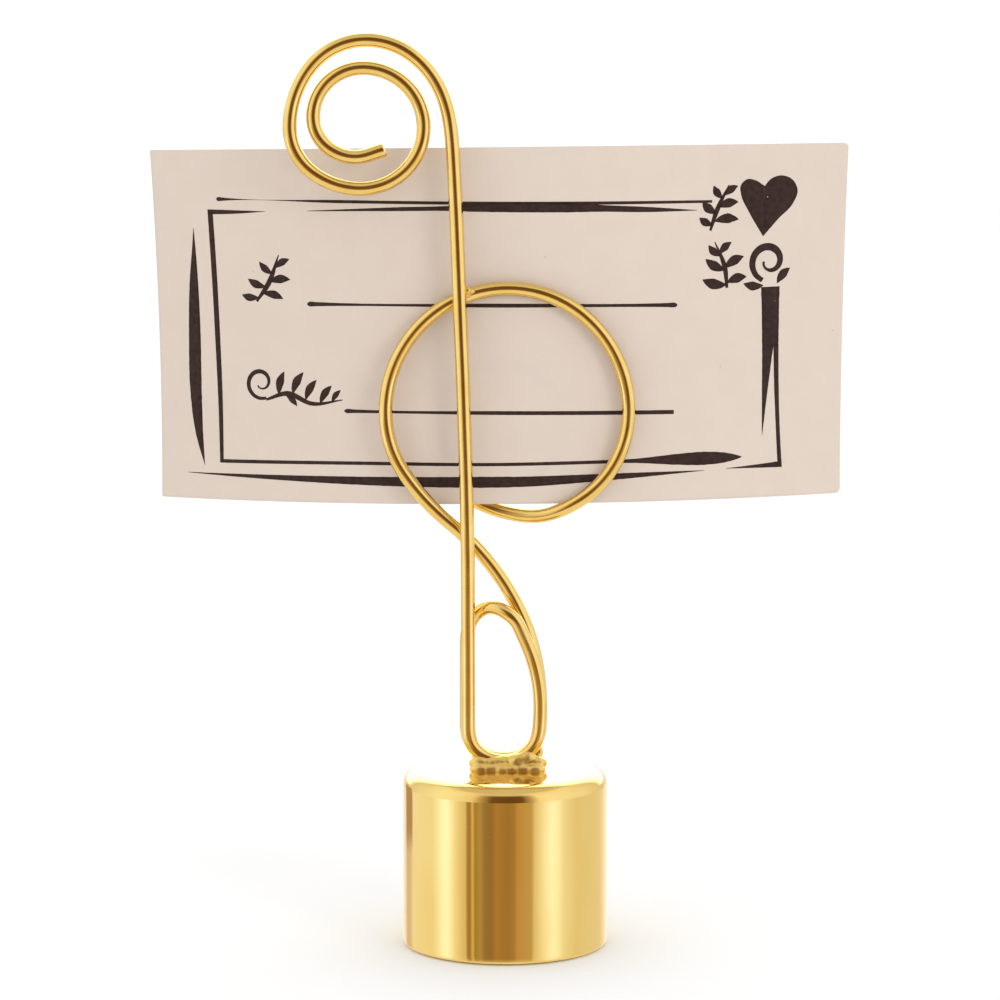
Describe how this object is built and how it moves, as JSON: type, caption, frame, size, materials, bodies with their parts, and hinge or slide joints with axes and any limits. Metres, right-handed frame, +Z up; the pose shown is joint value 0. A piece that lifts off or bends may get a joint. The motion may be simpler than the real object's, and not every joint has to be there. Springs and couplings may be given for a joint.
{
  "type": "table number holder",
  "caption": "Short weighted round base with a bent-wire treble clef whose loop and rear spiral clip an upright place card.",
  "frame": {"origin": "centre of the base's underside, on the surface it stands on", "axes": "+Z up, -Y towards the reader of the card, +X to the reader's right"},
  "size_m": [0.0859, 0.027, 0.111],
  "materials": {
    "plated_cup": "bright gold-coloured plating on a drawn cup",
    "iron_slug": "as cast, hidden inside the cup",
    "foam_pad": "matt closed-cell foam",
    "plated_wire": "satin gold-coloured plating on drawn wire",
    "plated_solder": "bright plating over rough solder",
    "printed_card": "uncoated cream card with dark brown print"
  },
  "bodies": {
    "holder": {"base_shell": "plated_cup", "base_weight": "iron_slug", "foot_pad": "foam_pad", "clef_wire": "plated_wire", "base_solder": "plated_solder", "crossing_solder": "plated_solder"},
    "card": {"place_card": "printed_card"}
  },
  "joints": [
    {"name": "card_slide", "type": "slide", "parent": "holder", "child": "card", "axis": [0, 0, 1], "range_m": [0, 0.03]}
  ]
}
